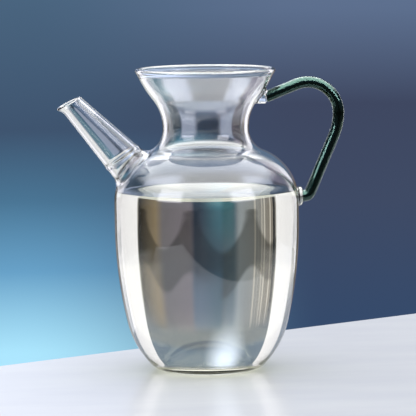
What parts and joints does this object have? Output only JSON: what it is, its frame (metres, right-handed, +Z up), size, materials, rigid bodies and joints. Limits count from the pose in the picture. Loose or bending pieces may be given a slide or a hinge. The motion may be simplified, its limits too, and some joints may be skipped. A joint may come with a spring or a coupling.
{
  "type": "tea pitcher",
  "caption": "Blown clear glass tea pitcher with a flared mouth, narrow neck, slanted welded spout and a bent dark green glass rod handle, filled with pale tea to the shoulder.",
  "frame": {"origin": "on the table at the centre of the foot's contact ring, on the axis of the blown body", "axes": "+Z up along the body's axis, -X towards the spout, +X towards the handle, +Y to the side"},
  "size_m": [0.1437, 0.0922, 0.1508],
  "materials": {
    "clear_glass": "clear, fire polished",
    "green_glass": "dark green, fire polished",
    "tea": "clear pale liquid"
  },
  "bodies": {
    "root": {"glass_body": "clear_glass", "handle": "green_glass", "tea": "tea"}
  },
  "joints": []
}
